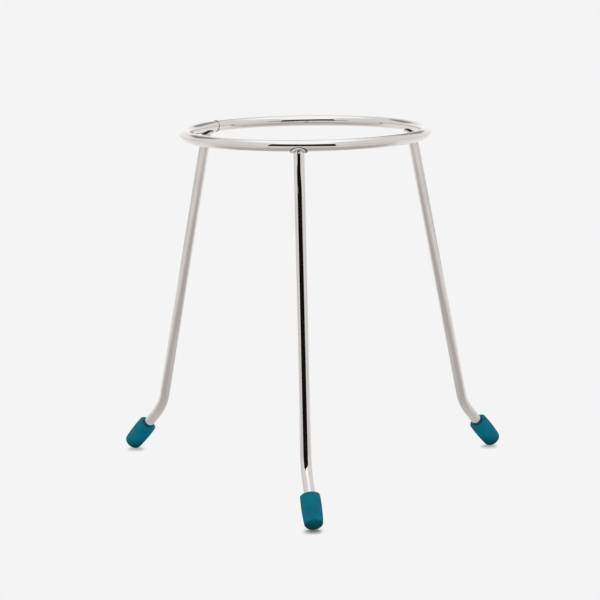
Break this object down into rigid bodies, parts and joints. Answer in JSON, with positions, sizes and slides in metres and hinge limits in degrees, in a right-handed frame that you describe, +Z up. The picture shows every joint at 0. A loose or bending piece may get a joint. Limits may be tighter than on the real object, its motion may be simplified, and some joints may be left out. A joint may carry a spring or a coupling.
{
  "type": "lab tripod stand",
  "caption": "Wire ring on splayed wire legs with soft foot caps, to hold a dish or flask over a burner.",
  "frame": {"origin": "on the ring's axis, in the plane of the bench that the feet stand on", "axes": "+Z up along the ring's axis, the front leg towards -Y, +X to the right"},
  "size_m": [0.2383, 0.2149, 0.212],
  "materials": {
    "bright_wire": "bright polished wire, faint lengthwise drawing lines",
    "bright_weld": "bright, slightly rippled weld bead",
    "cap_rubber": "matte teal moulded rubber"
  },
  "bodies": {
    "root": {"ring": "bright_wire", "ring_seam_weld": "bright_weld", "leg_front": "bright_wire", "leg_rear_right": "bright_wire", "leg_rear_left": "bright_wire", "leg_weld_front": "bright_weld", "leg_weld_rear_right": "bright_weld", "leg_weld_rear_left": "bright_weld", "foot_cap_front": "cap_rubber", "foot_cap_rear_right": "cap_rubber", "foot_cap_rear_left": "cap_rubber"}
  },
  "joints": []
}
